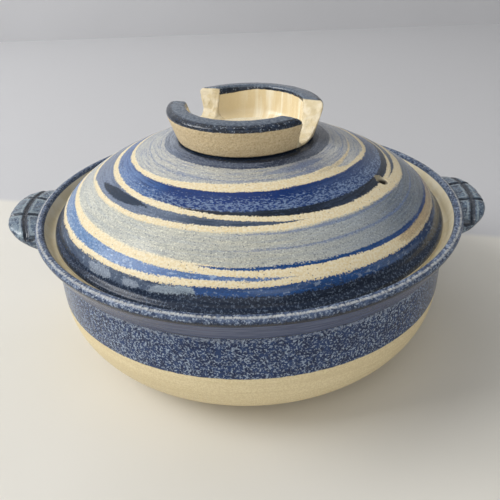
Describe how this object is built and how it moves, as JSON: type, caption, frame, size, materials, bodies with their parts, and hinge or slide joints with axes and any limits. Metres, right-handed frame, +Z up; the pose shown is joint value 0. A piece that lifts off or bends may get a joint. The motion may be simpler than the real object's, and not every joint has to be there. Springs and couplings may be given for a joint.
{
  "type": "lidded clay pot",
  "caption": "Wide earthenware pot for the table and the stove, with two pressed lugs, a recessed rim and a domed lid lifted by a notched ring knob.",
  "frame": {"origin": "centre of the foot ring on the table", "axes": "+Z up, the lugs along X, -Y the front, with the steam hole and one knob notch at the front right"},
  "size_m": [0.3178, 0.28, 0.1619],
  "materials": {
    "bowl_clay": "speckled blue glaze outside over bare cream clay at the foot, clear cream glaze inside",
    "lug_clay": "glossy mottled slate-blue glaze, darker in the grooves",
    "lid_clay": "glossy glaze with brushed blue, grey and cream bands",
    "knob_clay": "bare sandy clay on the side, blue glaze on the top, clear glaze inside"
  },
  "bodies": {
    "pot": {"bowl_wall": "bowl_clay", "bowl_floor": "bowl_clay", "right_lug": "lug_clay", "left_lug": "lug_clay"},
    "lid": {"lid": "lid_clay", "knob_ring": "knob_clay"}
  },
  "joints": [
    {"name": "lid_lift", "type": "slide", "parent": "pot", "child": "lid", "axis": [0, 0, 1], "range_m": [0, 0.12]}
  ]
}
